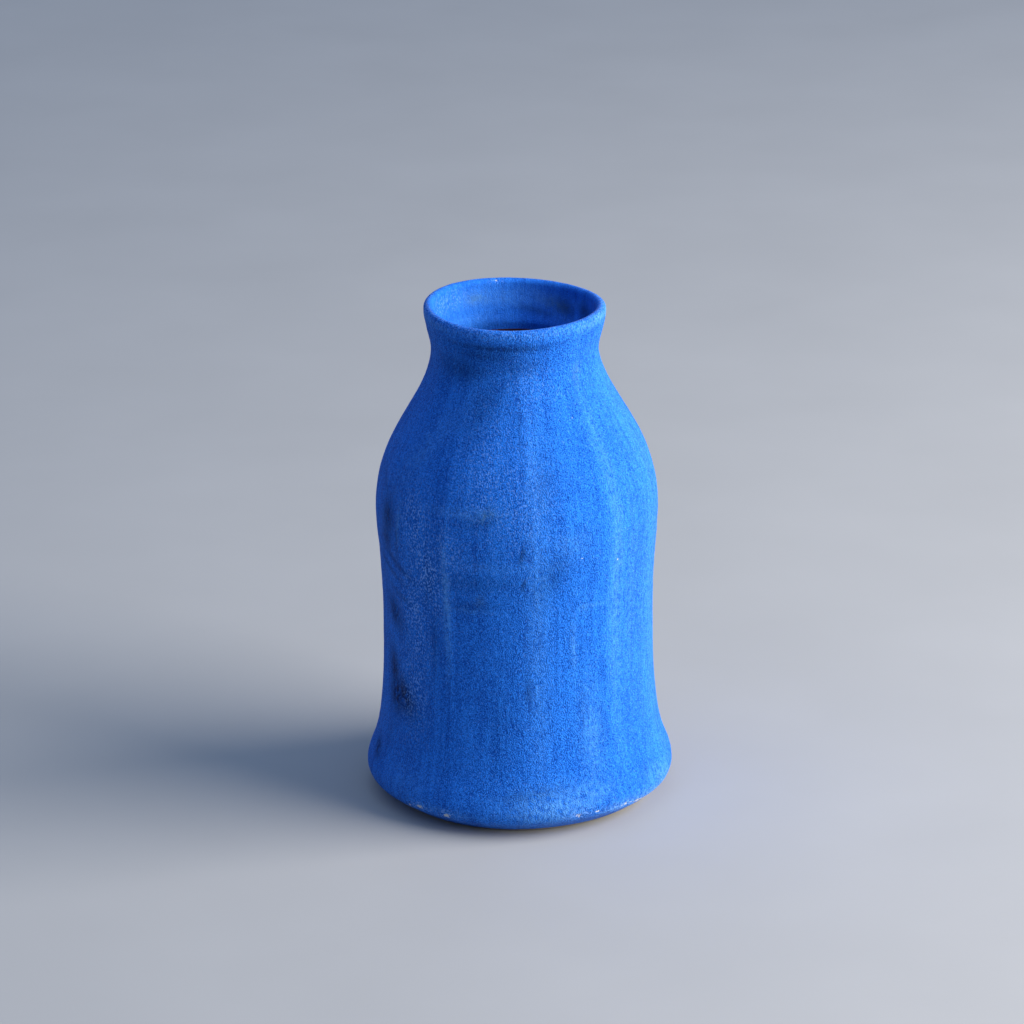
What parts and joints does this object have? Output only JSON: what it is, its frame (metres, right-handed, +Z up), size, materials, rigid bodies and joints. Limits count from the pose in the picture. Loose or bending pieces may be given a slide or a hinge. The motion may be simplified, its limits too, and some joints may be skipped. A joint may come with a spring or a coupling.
{
  "type": "bud vase",
  "caption": "Small bottle-shaped ceramic vase with a flared foot, a drawn-in neck and a rounded lip, for a flower stem.",
  "frame": {"origin": "middle of the foot, on the surface that the vase stands on", "axes": "+Z up through the mouth; the vase's own axis leans 0.7 degrees from +Z towards -X"},
  "size_m": [0.0756, 0.0756, 0.1252],
  "materials": {
    "clay": "bare buff stoneware, dry and slightly gritty",
    "slip": "dry matte cobalt blue slip with a fine grain",
    "liner": "smooth dark iron glaze"
  },
  "bodies": {
    "root": {"base_slab": "clay", "body_wall": "clay", "corner_coil": "clay", "lip_coil": "clay", "blue_slip": "slip", "liner_glaze": "liner"}
  },
  "joints": []
}
